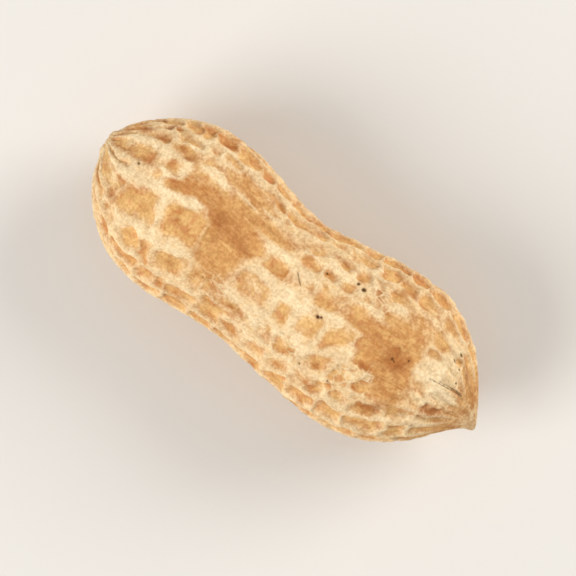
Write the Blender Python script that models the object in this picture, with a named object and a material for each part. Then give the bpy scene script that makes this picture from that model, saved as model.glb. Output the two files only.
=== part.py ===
"""A peanut in its shell: one dry pod with two lobes, lying on its side.

The pod grew as one piece, so it is one closed solid. Its lobes, waist and beak come from an
outline that is turned nearly round. Its raised net is drawn flat, as on a map, and is then
wrapped on the pod. Sizes are in millimetres and degrees until the last step turns them into
metres. +X runs from the stem end to the beak, +Z is up, and the pod rests on z = 0.
"""

import math

import bmesh
import bpy
import numpy as np

MM = 0.001
SEED = 7

# The outline seen from above: place along X, half width, and the middle's place on Y and on Z.
OUTLINE = (
    (-21.0, 0.0, 1.2, 7.6),
    (-20.4, 2.9, 0.7, 7.6),
    (-18.9, 4.85, 0.4, 7.55),
    (-16.2, 6.9, 0.35, 7.5),
    (-11.2, 8.2, 0.35, 7.5),
    (-6.6, 7.65, 0.1, 7.5),
    (-1.8, 7.1, -0.3, 7.55),
    (3.2, 7.75, -0.35, 7.55),
    (8.7, 8.3, -0.1, 7.6),
    (12.8, 7.65, 0.2, 7.5),
    (16.2, 5.7, 0.4, 7.3),
    (18.8, 3.0, 0.5, 6.9),
    (20.1, 1.3, 0.2, 6.5),
    (21.0, 0.0, -0.4, 6.1),
)
HEIGHT_OVER_WIDTH = 0.95
OUTLINE_SAMPLES = 600

# Broad hollows pressed into the lobes: place on X, angle from the top, reach on X, reach in degrees, depth.
HOLLOWS = (
    (11.8, 0.0, 3.4, 26.0, 0.55),
    (-7.2, -8.0, 3.4, 26.0, 0.2),
    (-14.0, 150.0, 3.0, 25.0, 0.3),
    (3.0, -115.0, 3.5, 28.0, 0.25),
)

# Where the net is worn away: the same four numbers, and how much of the net is lost.
WORN = (
    (-7.4, -6.0, 3.2, 22.0, 0.85),
    (11.6, -2.0, 3.2, 26.0, 0.75),
    (12.0, -42.0, 3.0, 20.0, 0.6),
    (15.8, -5.0, 2.2, 20.0, 0.7),
    (-10.4, 180.0, 3.6, 26.0, 1.0),
    (8.2, 180.0, 3.6, 26.0, 1.0),
)

# The scar where the stalk broke off: a low ring round a small pit, at the stem end.
SCAR_RING_RADIUS = 0.95
SCAR_RING_WIDTH = 0.4
SCAR_RING_HEIGHT = 0.3
SCAR_PIT_WIDTH = 0.45
SCAR_PIT_DEPTH = 0.35

# The net: its ribs run the length of the pod, and short veins cross between them.
RIBS = 20
NET_ROWS = 44
NET_START = 2.3
NET_END_MARGIN = 2.7
STEM_ROWS = (0.45, 0.95, 1.6)
BEAK_ROWS_MARGIN = (1.9, 1.3, 0.8, 0.4)
RIDGE_TOP = 0.36
RIDGE_SLOPE = 0.32
NET_DEPTH = 0.42
FULL_DEPTH_RADIUS = 5.0
MAP_MM_PER_DEGREE = 0.136
ROW_SHIFT_LIMIT = 0.35

# Angles of the ribs on the upper side, from the top towards -Y, at these places along X.
RIB_STATIONS = (-18.0, -15.0, -12.0, -6.0, 0.0, 6.0, 12.0, 15.0, 18.0)
UPPER_RIBS = {
    5: (-80, -77, -76, -76, -80, -80, -78, -77, -76),
    6: (-65, -56, -56, -57, -63, -64, -60, -58, -56),
    7: (-52, -41, -43, -46, -49, -48, -44, -42, -40),
    8: (-33, -29, -31, -33, -35, -33, -30, -28, -26),
    9: (-7, -14, -18, -20, -20, -21, -17, -15, -13),
    10: (6, -1, -5, -1, 0, -6, -4, -2, 0),
    11: (35, 33, 27, 25, 26, 18, 14, 13, 13),
    12: (54, 56, 51, 42, 46, 36, 30, 28, 27),
    13: (69, 71, 69, 64, 66, 52, 48, 42, 42),
    14: (84, 85, 86, 83, 84, 72, 68, 67, 66),
}

# Places along X of the veins that cross each column between two ribs of the upper side.
UPPER_VEINS = {
    5: (-17.0, -15.0, -12.9, -10.9, -8.6, -6.9, -4.9, -2.3, 0.6, 3.3, 5.6, 8.0, 10.6, 13.2, 15.6),
    6: (-18.4, -16.2, -13.7, -11.7, -9.6, -4.5, -2.2, 0.2, 2.4, 5.0, 7.6, 10.2, 13.0, 15.8),
    7: (-16.2, -13.2, -6.8, -4.0, -1.2, 1.9, 3.9, 5.8, 7.8, 10.0, 13.6, 16.4),
    8: (-16.1, -13.7, -9.2, -5.2, -0.7, 1.2, 3.2, 5.5, 8.2, 11.0, 13.8, 16.2),
    9: (-17.6, -15.1, -8.6, -3.7, -0.3, 1.6, 4.9, 9.2, 13.3, 15.9),
    10: (-17.7, -13.5, -9.3, -4.6, -0.8, 2.0, 4.7, 7.5, 10.3, 13.2, 16.0),
    11: (-18.2, -16.1, -13.7, -11.3, -8.6, -6.2, -1.2, 1.6, 4.4, 7.3, 9.8, 12.9, 16.0),
    12: (-18.0, -16.0, -12.5, -10.7, -9.0, -6.3, -3.4, -0.4, 1.8, 3.9, 5.9, 8.0, 10.8, 13.0, 16.1),
    13: (-17.0, -14.6, -11.8, -9.0, -6.2, -3.4, -0.6, 2.2, 5.0, 7.8, 10.8, 14.2, 16.4),
}
HIDDEN_VEIN_GAP = (2.0, 3.6)
HIDDEN_VEINS_FROM = -18.4
HIDDEN_VEINS_TO = 16.6
WANDER_DEGREES = 1.3
WANDER_MM = 0.12
DEPTH_SPREAD = 0.2

SEAM_GAP = 0.0001
SHARP_DEGREES = 50.0
SHELL_COLOUR = (0.68, 0.43, 0.20, 1.0)
SHELL_ROUGHNESS = 0.78


def smooth_through(knots, values, at):
    """A smooth curve through the values at the knots: cubic pieces with three-point slopes."""
    knots = np.asarray(knots, float)
    values = np.asarray(values, float)
    gaps = np.diff(knots)
    steps = np.diff(values) / gaps
    slopes = np.empty_like(values)
    slopes[1:-1] = (steps[:-1] * gaps[1:] + steps[1:] * gaps[:-1]) / (gaps[1:] + gaps[:-1])
    slopes[0] = steps[0]
    slopes[-1] = steps[-1]
    piece = np.clip(np.searchsorted(knots, at, side="right") - 1, 0, len(gaps) - 1)
    gap = gaps[piece]
    u = np.clip((at - knots[piece]) / gap, 0.0, 1.0)
    rise = values[piece + 1] - values[piece]
    start = gap * slopes[piece]
    end = gap * slopes[piece + 1]
    return values[piece] + start * u + (3 * rise - 2 * start - end) * u**2 + (start + end - 2 * rise) * u**3


def outline_table():
    """The outline as a fine table: distance along it, X, half width, middle on Y, middle on Z.

    A mirrored point before each end makes the outline leave and reach the pod's axis squarely.
    """
    points = np.array(OUTLINE)
    mirror = np.array([1.0, -1.0, 1.0, 1.0])
    points = np.vstack([points[1] * mirror, points, points[-2] * mirror])
    chords = np.hypot(np.diff(points[:, 0]), np.diff(points[:, 1]))
    knots = np.concatenate([[0.0], np.cumsum(chords)])
    at = np.linspace(knots[1], knots[-2], OUTLINE_SAMPLES)
    x, half, side, lift = (smooth_through(knots, column, at) for column in points.T)
    length = np.concatenate([[0.0], np.cumsum(np.hypot(np.diff(x), np.diff(half)))])
    return length, x, half, side, lift


LENGTH, TABLE_X, TABLE_HALF, TABLE_SIDE, TABLE_LIFT = outline_table()
OUTLINE_LENGTH = LENGTH[-1]


def spots(listed, x, angle):
    """The listed spots' strengths at a place, each fading out from its centre as a bell."""
    for spot_x, spot_angle, reach_x, reach_angle, strength in listed:
        turn = (angle - spot_angle + 180.0) % 360.0 - 180.0
        yield strength * np.exp(-(((x - spot_x) / reach_x) ** 2) - (turn / reach_angle) ** 2)


def pod_point(along, angle):
    """Points on the pod, at a distance along its outline and an angle from its top towards -Y."""
    x = np.interp(along, LENGTH, TABLE_X)
    half = np.interp(along, LENGTH, TABLE_HALF)
    half = np.maximum(half - sum(spots(HOLLOWS, x, angle)), 0.0)
    turn = np.radians(angle)
    y = np.interp(along, LENGTH, TABLE_SIDE) - half * np.sin(turn)
    z = np.interp(along, LENGTH, TABLE_LIFT) + HEIGHT_OVER_WIDTH * half * np.cos(turn)
    return np.stack([x, y, z], axis=-1)


def pod_normal(along, angle):
    """Unit directions straight out of the pod, from its slopes along and around."""
    step_along = 0.15
    step_angle = 1.0
    ahead = pod_point(along + step_along, angle) - pod_point(along - step_along, angle)
    around = pod_point(along, angle + step_angle) - pod_point(along, angle - step_angle)
    normal = np.cross(around, ahead)
    return normal / np.linalg.norm(normal, axis=-1, keepdims=True)


def rib_angles(x):
    """The angle of each rib at x, with the last rib on top of the first, one turn on."""
    angles = np.empty(RIBS + 1)
    upper = sorted(UPPER_RIBS)
    for rib in upper:
        angles[rib] = smooth_through(RIB_STATIONS, UPPER_RIBS[rib], np.array([x]))[0]
    first, last = upper[0], upper[-1]
    under = np.linspace(angles[last], angles[first] + 360.0, first + RIBS - last + 1)
    angles[last:] = under[: RIBS - last + 1]
    angles[: first + 1] = under[RIBS - last :] - 360.0
    return angles


def row_places():
    """Distances along the outline of the rows of the map, and the first and last row of the net."""
    stem = list(STEM_ROWS)
    net = np.linspace(NET_START, OUTLINE_LENGTH - NET_END_MARGIN, NET_ROWS + 1)
    beak = [OUTLINE_LENGTH - margin for margin in BEAK_ROWS_MARGIN]
    return np.array(stem + list(net) + beak), len(stem), len(stem) + NET_ROWS


def vein_places(rng):
    """For each column between two ribs, the places along X of its veins."""
    veins = dict(UPPER_VEINS)
    for column in range(RIBS):
        if column in veins:
            continue
        places = [HIDDEN_VEINS_FROM + rng.uniform(0.0, HIDDEN_VEIN_GAP[1])]
        while places[-1] < HIDDEN_VEINS_TO:
            places.append(places[-1] + rng.uniform(*HIDDEN_VEIN_GAP))
        veins[column] = places[:-1]
    return veins


def net_layout():
    """The crossings of the net on the map, as distances along and angles, and the kept veins."""
    rng = np.random.default_rng(SEED)
    rows, first, last = row_places()
    row_gap = (rows[last] - rows[first]) / NET_ROWS
    veins = vein_places(rng)
    shift = np.zeros((len(rows), RIBS))
    count = np.zeros((len(rows), RIBS))
    kept = set()
    for column, places in veins.items():
        for x in places:
            along = np.interp(x, TABLE_X, LENGTH)
            row = int(np.clip(round((along - rows[first]) / row_gap) + first, first + 1, last - 1))
            kept.add((row, column))
            for rib in (column, (column + 1) % RIBS):
                shift[row, rib] += along - rows[row]
                count[row, rib] += 1
    limit = ROW_SHIFT_LIMIT * row_gap
    shift = np.clip(shift / np.maximum(count, 1), -limit, limit)
    inside = (np.arange(len(rows)) > first) & (np.arange(len(rows)) < last)
    shift += inside[:, None] * rng.uniform(-WANDER_MM, WANDER_MM, shift.shape)
    turn = inside[:, None] * rng.uniform(-WANDER_DEGREES, WANDER_DEGREES, shift.shape)
    shift = np.hstack([shift, shift[:, :1]])
    turn = np.hstack([turn, turn[:, :1]])
    along = rows[:, None] + shift
    angle = np.stack([rib_angles(np.interp(row, LENGTH, TABLE_X)) for row in rows]) + turn
    return along, angle, kept, first, last


def net_map(bm):
    """Draws the net flat: x is the distance along, y the angle as millimetres, z the share of the depth."""
    along, angle, kept, first, last = net_layout()
    rows = len(along) - 1
    bmesh.ops.create_grid(bm, x_segments=rows, y_segments=RIBS, size=1.0)
    place = {}
    for vert in bm.verts:
        row = round((vert.co.x + 1.0) / 2.0 * rows)
        rib = round((vert.co.y + 1.0) / 2.0 * RIBS)
        place[vert] = (row, rib)
        vert.co = (along[row, rib], angle[row, rib] * MAP_MM_PER_DEGREE, 0.0)
    cross = []
    for edge in bm.edges:
        (row, rib), (other_row, other_rib) = (place[vert] for vert in edge.verts)
        if row == other_row and first < row < last and (row, min(rib, other_rib)) not in kept:
            cross.append(edge)
    bmesh.ops.dissolve_edges(bm, edges=cross, use_verts=False, use_face_split=False)
    cells = [face for face in bm.faces if all(first <= place[vert][0] <= last for vert in face.verts)]
    bmesh.ops.inset_individual(bm, faces=cells, thickness=RIDGE_TOP / 2, depth=0.0, use_even_offset=True)
    bmesh.ops.inset_individual(bm, faces=cells, thickness=RIDGE_SLOPE, depth=0.0, use_even_offset=True)
    rng = np.random.default_rng(SEED + 1)
    for cell in cells:
        floor = -1.0 + DEPTH_SPREAD * rng.uniform(-1.0, 1.0)
        for vert in cell.verts:
            vert.co.z = floor


def scar_height(along):
    """How far the stalk's scar stands out of the stem end."""
    ring = SCAR_RING_HEIGHT * np.exp(-(((along - SCAR_RING_RADIUS) / SCAR_RING_WIDTH) ** 2))
    return ring - SCAR_PIT_DEPTH * np.exp(-((along / SCAR_PIT_WIDTH) ** 2))


def wrap(bm):
    """Rolls the map up on the pod, sinks the cells of the net and raises the stalk's scar."""
    flat = np.array([vert.co for vert in bm.verts])
    along = flat[:, 0]
    angle = flat[:, 1] / MAP_MM_PER_DEGREE
    points = pod_point(along, angle)
    worn = np.clip(sum(spots(WORN, points[:, 0], angle)), 0.0, 1.0)
    narrowing = np.minimum(np.interp(along, LENGTH, TABLE_HALF) / FULL_DEPTH_RADIUS, 1.0)
    height = flat[:, 2] * NET_DEPTH * (1.0 - worn) * narrowing + scar_height(along)
    points += pod_normal(along, angle) * height[:, None]
    for vert, point in zip(bm.verts, points):
        vert.co = point
    bmesh.ops.remove_doubles(bm, verts=bm.verts, dist=SEAM_GAP)


def open_edges(bm):
    """The edges round the holes that are still open."""
    return [edge for edge in bm.edges if edge.is_boundary]


def close_ends(bm):
    """Closes the stem end and the tip of the beak, each with a fan round its own middle point."""
    caps = bmesh.ops.holes_fill(bm, edges=open_edges(bm), sides=0)["faces"]
    for centre in bmesh.ops.poke(bm, faces=caps)["verts"]:
        end = 0.0 if centre.co.x < 0.0 else OUTLINE_LENGTH
        centre.co = pod_point(end, 0.0)
        centre.co.x -= scar_height(end)


def centre_over_origin(bm):
    """Moves the pod level until the middle of its box is over the origin."""
    points = np.array([vert.co for vert in bm.verts])
    middle = (points.min(axis=0) + points.max(axis=0)) / 2
    bmesh.ops.translate(bm, vec=(-middle[0], -middle[1], 0.0), verts=bm.verts)


def flatten_rest(bm):
    """Cuts the small flat spots under the two lobes that the pod rests on."""
    geometry = bm.verts[:] + bm.edges[:] + bm.faces[:]
    bmesh.ops.bisect_plane(bm, geom=geometry, plane_co=(0, 0, 0), plane_no=(0, 0, 1), clear_inner=True)
    bmesh.ops.holes_fill(bm, edges=open_edges(bm), sides=0)


def shell_material():
    """The dry shell's plain straw brown."""
    material = bpy.data.materials.new("dry_shell")
    material.use_nodes = True
    shader = material.node_tree.nodes["Principled BSDF"]
    shader.inputs["Base Color"].default_value = SHELL_COLOUR
    shader.inputs["Roughness"].default_value = SHELL_ROUGHNESS
    shader.inputs["Metallic"].default_value = 0.0
    material.diffuse_color = SHELL_COLOUR
    return material


def build_pod(collection):
    """The whole pod as one object, in metres."""
    bm = bmesh.new()
    net_map(bm)
    wrap(bm)
    close_ends(bm)
    centre_over_origin(bm)
    flatten_rest(bm)
    bmesh.ops.triangulate(bm, faces=bm.faces[:])
    bmesh.ops.scale(bm, vec=(MM, MM, MM), verts=bm.verts)
    bmesh.ops.recalc_face_normals(bm, faces=bm.faces[:])
    mesh = bpy.data.meshes.new("peanut_pod")
    bm.to_mesh(mesh)
    bm.free()
    mesh.shade_smooth()
    mesh.set_sharp_from_angle(angle=math.radians(SHARP_DEGREES))
    mesh.materials.append(shell_material())
    pod = bpy.data.objects.new("peanut_pod", mesh)
    collection.objects.link(pod)
    return pod


def main():
    """Clears the scene and builds the peanut in a collection of its own."""
    for leftover in list(bpy.data.objects):
        bpy.data.objects.remove(leftover)
    collection = bpy.data.collections.new("peanut")
    bpy.context.scene.collection.children.link(collection)
    pod = build_pod(collection)
    size = [round(side / MM, 2) for side in pod.dimensions]
    print(f"pod: {len(pod.data.polygons)} triangles, {size} mm")


main()
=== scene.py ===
# %% [markdown]
# # A peanut in its shell
#
# A peanut pod is dry, light and a little flexible. It is about 42 mm long, with a waist between
# its two lobes, a blunt end where its stalk broke off, and a small hooked beak at the other end.
# Its wall is a mat of fibres. The strongest ones stand out as a pale net: ribs that run the length
# of the pod, and short veins that cross from rib to rib. Between them lie brown, dished cells.
#
# The solid model already has the pod's size and a coarse net. This lesson makes the fine surface
# that replaces it: first the camera and the light, then the pod's form, its net, its small marks,
# and last its colours.

import math

import bpy
import numpy as np
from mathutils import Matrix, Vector


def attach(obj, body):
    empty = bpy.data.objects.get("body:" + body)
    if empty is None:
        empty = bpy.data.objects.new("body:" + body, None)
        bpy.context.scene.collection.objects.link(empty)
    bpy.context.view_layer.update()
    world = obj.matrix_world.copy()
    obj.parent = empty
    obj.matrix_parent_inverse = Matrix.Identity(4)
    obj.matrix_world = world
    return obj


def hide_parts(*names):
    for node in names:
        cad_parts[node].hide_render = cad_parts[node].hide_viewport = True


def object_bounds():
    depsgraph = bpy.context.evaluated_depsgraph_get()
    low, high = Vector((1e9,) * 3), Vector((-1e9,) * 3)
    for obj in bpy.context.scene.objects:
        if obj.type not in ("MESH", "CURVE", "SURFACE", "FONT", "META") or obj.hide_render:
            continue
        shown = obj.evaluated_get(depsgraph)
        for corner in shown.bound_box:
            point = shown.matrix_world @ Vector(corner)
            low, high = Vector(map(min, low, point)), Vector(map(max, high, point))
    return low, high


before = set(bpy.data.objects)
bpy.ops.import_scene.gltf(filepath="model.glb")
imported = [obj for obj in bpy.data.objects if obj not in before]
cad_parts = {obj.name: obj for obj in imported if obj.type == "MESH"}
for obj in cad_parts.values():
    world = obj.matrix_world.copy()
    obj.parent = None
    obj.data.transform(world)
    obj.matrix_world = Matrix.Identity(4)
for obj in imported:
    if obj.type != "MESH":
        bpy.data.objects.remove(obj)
SOLID_LOW, SOLID_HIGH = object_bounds()
POD_NODE = "peanut_pod"
MM = 0.001
SEED = 7

solid_mm = [round(side / MM, 2) for side in SOLID_HIGH - SOLID_LOW]
print("the solid model's box:", solid_mm, "mm")

# %% [markdown]
# ## Looking down on it
#
# The peanut lies on its side and the camera looks straight down. The pod's length runs from the
# upper left to the lower right of the picture. A long lens, well back, keeps the near and far
# parts of the pod at almost the same scale, as in a photograph of something small.

# %% The camera
LENS_MM = 500.0
SENSOR_MM = 36.0
PICTURE_WIDTH = 52.0 * MM
AXIS_DOWN_DEGREES = 36.0

middle = (SOLID_LOW + SOLID_HIGH) / 2
camera = bpy.data.objects.new("camera", bpy.data.cameras.new("camera"))
camera.data.lens = LENS_MM
camera.data.sensor_width = SENSOR_MM
camera.data.clip_start = 0.01
camera_height = PICTURE_WIDTH * LENS_MM / SENSOR_MM
camera.location = (middle.x, middle.y, middle.z + camera_height)
camera.rotation_euler = (0.0, 0.0, math.radians(AXIS_DOWN_DEGREES))
bpy.context.scene.collection.objects.link(camera)
bpy.context.scene.camera = camera
print("the camera is", round(camera_height / MM), "mm above the pod")

# %% [markdown]
# ## Soft studio light
#
# Low relief shows best in light that comes in low from the sides. Two large soft panels face each
# other across the pod, and the left one is a little stronger. An even sky fills the shade, so that
# no cell of the net turns black. Each panel is aimed by its own direction. The plain Standard view
# shows the warm straw colours as they are painted, where a filmic one would grey them.

# %% Lights
PANEL_DISTANCE = 0.5
PANEL_SIZE = 0.3
KEY_DIRECTION = (-0.5, -0.8, 0.69)
KEY_WATTS = 1.72
KEY_COLOUR = (1.0, 0.97, 0.93)
FILL_DIRECTION = (0.45, 0.9, 0.6)
FILL_WATTS = 1.6
FILL_COLOUR = (1.0, 0.96, 0.9)
SKY_COLOUR = (1.0, 0.97, 0.93, 1.0)
SKY_STRENGTH = 0.44


def soft_panel(name, direction, watts, colour):
    """A square panel of light at a set distance from the pod's middle, facing it."""
    light = bpy.data.lights.new(name, "AREA")
    light.size = PANEL_SIZE
    light.energy = watts
    light.color = colour
    panel = bpy.data.objects.new(name, light)
    away = Vector(direction).normalized()
    panel.location = middle + away * PANEL_DISTANCE
    panel.rotation_mode = "QUATERNION"
    panel.rotation_quaternion = away.to_track_quat("Z", "Y")
    bpy.context.scene.collection.objects.link(panel)


soft_panel("key_light", KEY_DIRECTION, KEY_WATTS, KEY_COLOUR)
soft_panel("fill_light", FILL_DIRECTION, FILL_WATTS, FILL_COLOUR)
world = bpy.data.worlds.new("even_sky")
world.use_nodes = True
background = world.node_tree.nodes["Background"]
background.inputs["Color"].default_value = SKY_COLOUR
background.inputs["Strength"].default_value = SKY_STRENGTH
bpy.context.scene.world = world
bpy.context.scene.view_settings.view_transform = "Standard"
print("two soft panels and an even sky")

# %% [markdown]
# ## The form of the pod
#
# The pod is nearly a turned shape. Its outline seen from above has a half width at each place
# along X, and its middle drifts a little to the side and up, which gives the lobes their lean and
# the beak its hook. So each point of the outline lists X, the half width, and the middle's place on
# Y and Z, all in millimetres. A few points are enough, because a smooth curve joins them.
#
# Two numbers name every point of the skin: the distance along the outline from the stem end, and
# the angle from the top towards -Y. Everything later, the net, the marks and the colours, is drawn
# on that map of the skin.

# %% A smooth curve through a few points
OUTLINE = (
    (-21.0, 0.0, 1.2, 7.6),
    (-20.4, 2.9, 0.7, 7.6),
    (-18.9, 4.85, 0.4, 7.55),
    (-16.2, 6.9, 0.35, 7.5),
    (-11.2, 8.2, 0.35, 7.5),
    (-6.6, 7.65, 0.1, 7.5),
    (-1.8, 7.1, -0.3, 7.55),
    (3.2, 7.75, -0.35, 7.55),
    (8.7, 8.3, -0.1, 7.6),
    (12.8, 7.65, 0.2, 7.5),
    (16.2, 5.7, 0.4, 7.3),
    (18.8, 3.0, 0.5, 6.9),
    (20.1, 1.3, 0.2, 6.5),
    (21.0, 0.0, -0.4, 6.1),
)
HEIGHT_OVER_WIDTH = 0.95
OUTLINE_SAMPLES = 600


def smooth_through(knots, values, at):
    """Cubic pieces that pass through the values at the knots, with three-point slopes there."""
    knots = np.asarray(knots, float)
    values = np.asarray(values, float)
    gaps = np.diff(knots)
    steps = np.diff(values) / gaps
    slopes = np.empty_like(values)
    slopes[1:-1] = (steps[:-1] * gaps[1:] + steps[1:] * gaps[:-1]) / (gaps[1:] + gaps[:-1])
    slopes[0] = steps[0]
    slopes[-1] = steps[-1]
    piece = np.clip(np.searchsorted(knots, at, side="right") - 1, 0, len(gaps) - 1)
    gap = gaps[piece]
    u = np.clip((at - knots[piece]) / gap, 0.0, 1.0)
    rise = values[piece + 1] - values[piece]
    start = gap * slopes[piece]
    end = gap * slopes[piece + 1]
    return values[piece] + start * u + (3 * rise - 2 * start - end) * u**2 + (start + end - 2 * rise) * u**3


def outline_table():
    """The outline as a fine table: distance along it, X, half width, middle on Y, middle on Z.

    A mirrored point before each end makes the outline leave and reach the pod's axis squarely.
    """
    points = np.array(OUTLINE)
    mirror = np.array([1.0, -1.0, 1.0, 1.0])
    points = np.vstack([points[1] * mirror, points, points[-2] * mirror])
    chords = np.hypot(np.diff(points[:, 0]), np.diff(points[:, 1]))
    knots = np.concatenate([[0.0], np.cumsum(chords)])
    at = np.linspace(knots[1], knots[-2], OUTLINE_SAMPLES)
    x, half, side, lift = (smooth_through(knots, column, at) for column in points.T)
    length = np.concatenate([[0.0], np.cumsum(np.hypot(np.diff(x), np.diff(half)))])
    return length, x, half, side, lift


LENGTH, TABLE_X, TABLE_HALF, TABLE_SIDE, TABLE_LIFT = outline_table()
OUTLINE_LENGTH = LENGTH[-1]
print("the outline is", round(OUTLINE_LENGTH, 1), "mm long from pole to pole")

# %% [markdown]
# ## Hollows
#
# A dry pod isn't evenly round. Where the wall shrank on to a seed it has broad shallow hollows.
# Each is a bell curve on the map: deepest in its middle and faded out past its reach. A list gives
# each one's place in X and angle, its reach in X and angle, and its strength, here a depth in mm.
# The same function of spots is used later for worn patches and stains.

# %% Spots on the map, and the skin itself
HOLLOWS = (
    (11.8, 0.0, 3.4, 26.0, 0.55),
    (-7.2, -8.0, 3.4, 26.0, 0.2),
    (-14.0, 150.0, 3.0, 25.0, 0.3),
    (3.0, -115.0, 3.5, 28.0, 0.25),
)
SLOPE_STEP_MM = 0.15
SLOPE_STEP_DEGREES = 1.0


def turn_from(start, angle):
    """Degrees from a start to an angle, the short way round: from -180 to 180."""
    return (angle - start + 180.0) % 360.0 - 180.0


def spots(listed, x, angle):
    """The sum of the listed spots: strength times a bell curve of the distance in X and in angle."""
    total = np.zeros(np.broadcast(x, angle).shape)
    for spot_x, spot_angle, reach_x, reach_angle, strength in listed:
        turn = turn_from(spot_angle, angle)
        total += strength * np.exp(-(((x - spot_x) / reach_x) ** 2) - (turn / reach_angle) ** 2)
    return total


def skin_point(along, angle):
    """Points of the bare skin, in mm: the middle of the section plus a half width turned by the angle."""
    x = np.interp(along, LENGTH, TABLE_X)
    half = np.interp(along, LENGTH, TABLE_HALF)
    half = np.maximum(half - spots(HOLLOWS, x, angle), 0.0)
    turn = np.radians(angle)
    y = np.interp(along, LENGTH, TABLE_SIDE) - half * np.sin(turn)
    z = np.interp(along, LENGTH, TABLE_LIFT) + HEIGHT_OVER_WIDTH * half * np.cos(turn)
    return np.stack(np.broadcast_arrays(x, y, z), axis=-1)


def skin_normal(along, angle):
    """Unit directions straight out of the skin: the cross product of its slopes around and along."""
    ahead = skin_point(along + SLOPE_STEP_MM, angle) - skin_point(along - SLOPE_STEP_MM, angle)
    around = skin_point(along, angle + SLOPE_STEP_DEGREES) - skin_point(along, angle - SLOPE_STEP_DEGREES)
    normal = np.cross(around, ahead)
    return normal / np.linalg.norm(normal, axis=-1, keepdims=True)


# %% [markdown]
# ## The grid of the skin
#
# The surface is a grid of points on the map. Its rows step along the outline and its columns step
# around. The rows are a seventh of a millimetre apart, so a ridge of the net gets five or six of
# them. The columns are a little closer together on the upper side than beneath.

# %% Rows and columns of the map
ROWS = 322
COLUMNS = 306
TOP_CROWDING = 0.2
POLE_MARGIN = 0.05
SMALLEST_HALF = 0.3
DEGREE = math.radians(1.0)

row_share = np.linspace(0.0, 1.0, ROWS)
column_turn = np.linspace(-math.pi, math.pi, COLUMNS, endpoint=False)
row_along = POLE_MARGIN + (OUTLINE_LENGTH - 2 * POLE_MARGIN) * row_share
column_angle = np.degrees(column_turn - TOP_CROWDING * np.sin(column_turn))
ALONG, ANGLE = np.meshgrid(row_along, column_angle, indexing="ij")
X_PLACE = np.interp(ALONG, LENGTH, TABLE_X)
HALF = np.interp(ALONG, LENGTH, TABLE_HALF)
MM_PER_DEGREE = np.maximum(HALF, SMALLEST_HALF) * DEGREE
print(f"{ROWS} rows and {COLUMNS} columns, {2 * ROWS * COLUMNS} triangles")

# %% [markdown]
# ## Unevenness
#
# Nothing that grew is even. Smooth random hills bend the ribs, vary their width and wrinkle the
# cells. They come from a lattice of random heights with an eased blend between them, and the
# lattice closes on itself after a full turn, so that no seam shows. A seed makes it the same each
# time. Further on, a name that ends in HILLS holds one lattice: the length of a cell in mm, the
# number of cells round the pod and the seed, and for some rough hills the number of layers.


# %% Smooth random hills
def ease(share):
    """A share from 0 to 1 with a level start and end: 3 times its square less twice its cube."""
    return share**2 * (3 - 2 * share)


def hills(cell, around, seed):
    """Random heights from -1 to 1 at the corners of a lattice on the map, blended with eased steps.

    A cell of the lattice is `cell` mm long, and `around` cells make a full turn.
    """
    rows = int(OUTLINE_LENGTH / cell) + 3
    lattice = np.random.default_rng(seed).uniform(-1.0, 1.0, (rows, around))
    row = ALONG / cell
    column = (ANGLE / 360.0) % 1.0 * around
    before = np.floor(row).astype(int)
    left = np.floor(column).astype(int) % around
    right = (left + 1) % around
    ahead_share = ease(row - np.floor(row))
    right_share = ease(column - np.floor(column))
    height_before = lattice[before, left] * (1 - right_share) + lattice[before, right] * right_share
    height_after = lattice[before + 1, left] * (1 - right_share) + lattice[before + 1, right] * right_share
    return height_before * (1 - ahead_share) + height_after * ahead_share


def rough_hills(cell, around, seed, octaves=3):
    """Several layers of hills, each half as long and half as high as the one before."""
    total = 0.0
    for octave in range(octaves):
        finer = 2**octave
        total = total + hills(cell / finer, around * finer, seed + octave) / finer
    return total


SAMPLE_HILLS = (4.0, 12, 1)
sample = rough_hills(*SAMPLE_HILLS)
print("these hills range from", round(float(sample.min()), 2), "to", round(float(sample.max()), 2))

# %% [markdown]
# ## Where the net runs
#
# The net has twenty ribs. Those on the upper side follow the real pod: each has its angle listed
# at nine places along X. The rest share what is left of the turn evenly. The veins that cross
# each column between two ribs are listed by their place along X, and those underneath are dealt
# out by a seeded rule. The solid model has the same net, so the crossings agree with it.

# %% The layout of ribs and veins
RIBS = 20
NET_ROWS = 44
NET_START = 2.3
NET_END_MARGIN = 2.7
STEM_ROWS = (0.45, 0.95, 1.6)
BEAK_ROWS_MARGIN = (1.9, 1.3, 0.8, 0.4)
ROW_SHIFT_LIMIT = 0.35
RIB_STATIONS = (-18.0, -15.0, -12.0, -6.0, 0.0, 6.0, 12.0, 15.0, 18.0)
UPPER_RIBS = {
    5: (-80, -77, -76, -76, -80, -80, -78, -77, -76),
    6: (-65, -56, -56, -57, -63, -64, -60, -58, -56),
    7: (-52, -41, -43, -46, -49, -48, -44, -42, -40),
    8: (-33, -29, -31, -33, -35, -33, -30, -28, -26),
    9: (-7, -14, -18, -20, -20, -21, -17, -15, -13),
    10: (6, -1, -5, -1, 0, -6, -4, -2, 0),
    11: (35, 33, 27, 25, 26, 18, 14, 13, 13),
    12: (54, 56, 51, 42, 46, 36, 30, 28, 27),
    13: (69, 71, 69, 64, 66, 52, 48, 42, 42),
    14: (84, 85, 86, 83, 84, 72, 68, 67, 66),
}
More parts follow.
